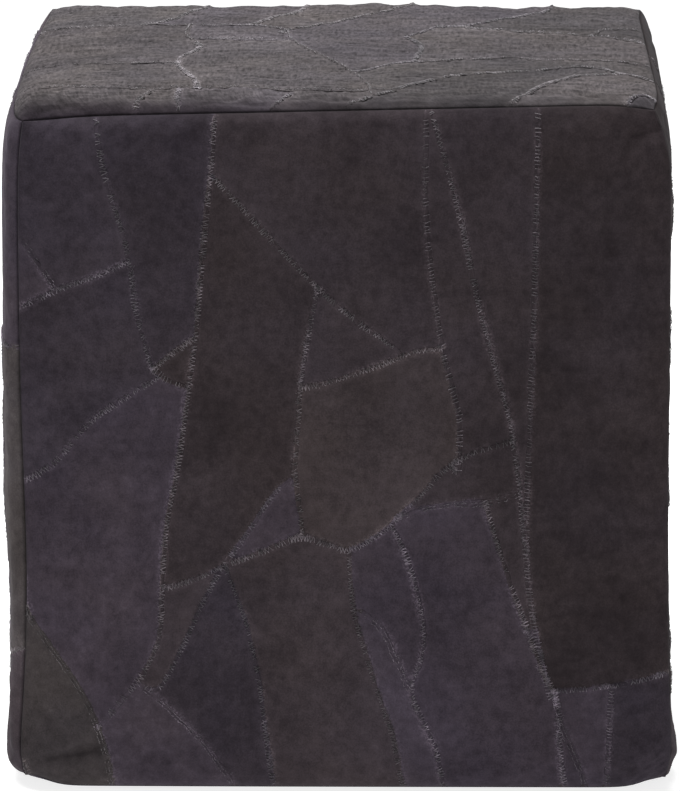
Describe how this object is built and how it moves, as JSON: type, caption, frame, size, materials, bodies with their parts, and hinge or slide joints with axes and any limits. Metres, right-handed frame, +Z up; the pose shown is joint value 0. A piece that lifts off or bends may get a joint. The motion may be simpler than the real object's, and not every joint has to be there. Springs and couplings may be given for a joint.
{
  "type": "cube pouf stool",
  "caption": "Cube-shaped pouf stool: a soft filled block in a patchwork suede cover, with crowned sides and drawn-in seams.",
  "frame": {"origin": "on the floor, under the middle of the pouf's outline", "axes": "+Z up, -Y out of the front panel, +X to the right of someone who looks at the front"},
  "size_m": [0.4502, 0.4446, 0.4663],
  "materials": {
    "suede": "dark charcoal suede offcuts, matt napped surface",
    "thread": "lilac-grey sewing thread and frayed raw edges"
  },
  "bodies": {
    "root": {"pouf": "suede"}
  },
  "joints": []
}
